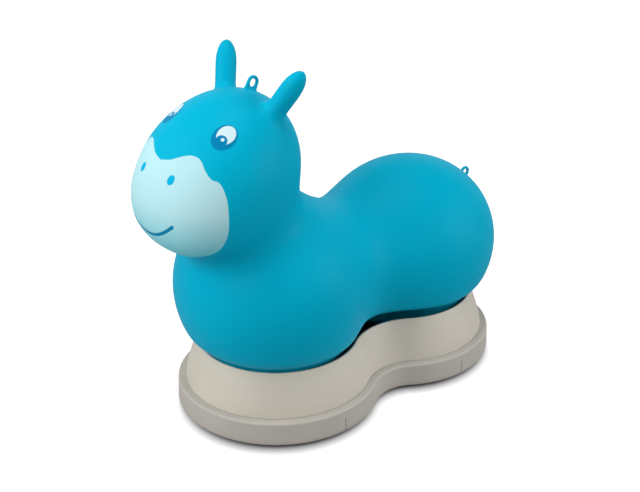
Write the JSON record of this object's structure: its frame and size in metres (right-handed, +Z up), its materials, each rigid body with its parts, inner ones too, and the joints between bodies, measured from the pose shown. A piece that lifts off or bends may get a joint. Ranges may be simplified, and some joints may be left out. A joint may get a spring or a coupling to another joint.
{
  "type": "inflatable hopper on a wheeled base",
  "caption": "Inflatable ride-on hopper shaped as a long-eared animal, seated in a peanut-shaped rolling base with a bumper and swivel castors.",
  "frame": {"origin": "on the floor, under the middle of the toy's overall length and width", "axes": "+Z up, -Y the way the animal looks, +X the animal's left side"},
  "size_m": [0.2894, 0.5927, 0.5026],
  "materials": {
    "body_blue": "satin soft vinyl, bright cyan blue",
    "wall_grey": "fine matt moulded plastic, warm light grey",
    "bumper_grey": "matt soft moulding, mid grey",
    "deck_black": "satin moulded plastic, black",
    "screw_steel": "zinc-plated",
    "steel": "zinc-plated",
    "bush_white": "natural white moulding",
    "castor_black": "satin moulded plastic",
    "tyre_grey": "matt soft tread",
    "valve_white": "translucent white soft plastic"
  },
  "bodies": {
    "base": {"base_wall": "wall_grey", "bumper": "bumper_grey", "seat_deck": "deck_black", "deck_screw_1": "screw_steel", "deck_screw_2": "screw_steel", "deck_screw_3": "screw_steel", "deck_screw_4": "screw_steel", "deck_screw_5": "screw_steel", "deck_screw_6": "screw_steel", "front_left_bush": "bush_white", "front_right_bush": "bush_white", "rear_left_bush": "bush_white", "rear_right_bush": "bush_white"},
    "hopper": {"hopper_skin": "body_blue", "head_loop": "body_blue", "tail_loop": "body_blue", "valve_sleeve": "valve_white"},
    "plug": {"valve_plug": "valve_white"},
    "front_left_castor": {"front_left_stem": "steel", "front_left_fork": "castor_black", "front_left_axle": "steel"},
    "front_left_wheel": {"front_left_hub": "castor_black", "front_left_tyre": "tyre_grey"},
    "front_right_castor": {"front_right_stem": "steel", "front_right_fork": "castor_black", "front_right_axle": "steel"},
    "front_right_wheel": {"front_right_hub": "castor_black", "front_right_tyre": "tyre_grey"},
    "rear_left_castor": {"rear_left_stem": "steel", "rear_left_fork": "castor_black", "rear_left_axle": "steel"},
    "rear_left_wheel": {"rear_left_hub": "castor_black", "rear_left_tyre": "tyre_grey"},
    "rear_right_castor": {"rear_right_stem": "steel", "rear_right_fork": "castor_black", "rear_right_axle": "steel"},
    "rear_right_wheel": {"rear_right_hub": "castor_black", "rear_right_tyre": "tyre_grey"}
  },
  "joints": [
    {"name": "hopper_lift", "type": "slide", "parent": "base", "child": "hopper", "axis": [0, 0, 1], "range_m": [0, 0.1]},
    {"name": "valve_plug_pull", "type": "slide", "parent": "hopper", "child": "plug", "axis": [0, 0, -1], "range_m": [0, 0.014]},
    {"name": "front_left_swivel", "type": "hinge", "parent": "base", "child": "front_left_castor", "pos_m": [0.067, -0.16165, 0.0355], "axis": [0, 0, 1], "continuous": true},
    {"name": "front_left_spin", "type": "hinge", "parent": "front_left_castor", "child": "front_left_wheel", "pos_m": [0.067, -0.15065, 0.015], "axis": [1, 0, 0], "continuous": true},
    {"name": "front_right_swivel", "type": "hinge", "parent": "base", "child": "front_right_castor", "pos_m": [-0.067, -0.16165, 0.0355], "axis": [0, 0, 1], "continuous": true},
    {"name": "front_right_spin", "type": "hinge", "parent": "front_right_castor", "child": "front_right_wheel", "pos_m": [-0.067, -0.15065, 0.015], "axis": [1, 0, 0], "continuous": true},
    {"name": "rear_left_swivel", "type": "hinge", "parent": "base", "child": "rear_left_castor", "pos_m": [0.067, 0.20285, 0.0355], "axis": [0, 0, 1], "continuous": true},
    {"name": "rear_left_spin", "type": "hinge", "parent": "rear_left_castor", "child": "rear_left_wheel", "pos_m": [0.067, 0.21385, 0.015], "axis": [1, 0, 0], "continuous": true},
    {"name": "rear_right_swivel", "type": "hinge", "parent": "base", "child": "rear_right_castor", "pos_m": [-0.067, 0.20285, 0.0355], "axis": [0, 0, 1], "continuous": true},
    {"name": "rear_right_spin", "type": "hinge", "parent": "rear_right_castor", "child": "rear_right_wheel", "pos_m": [-0.067, 0.21385, 0.015], "axis": [1, 0, 0], "continuous": true}
  ]
}
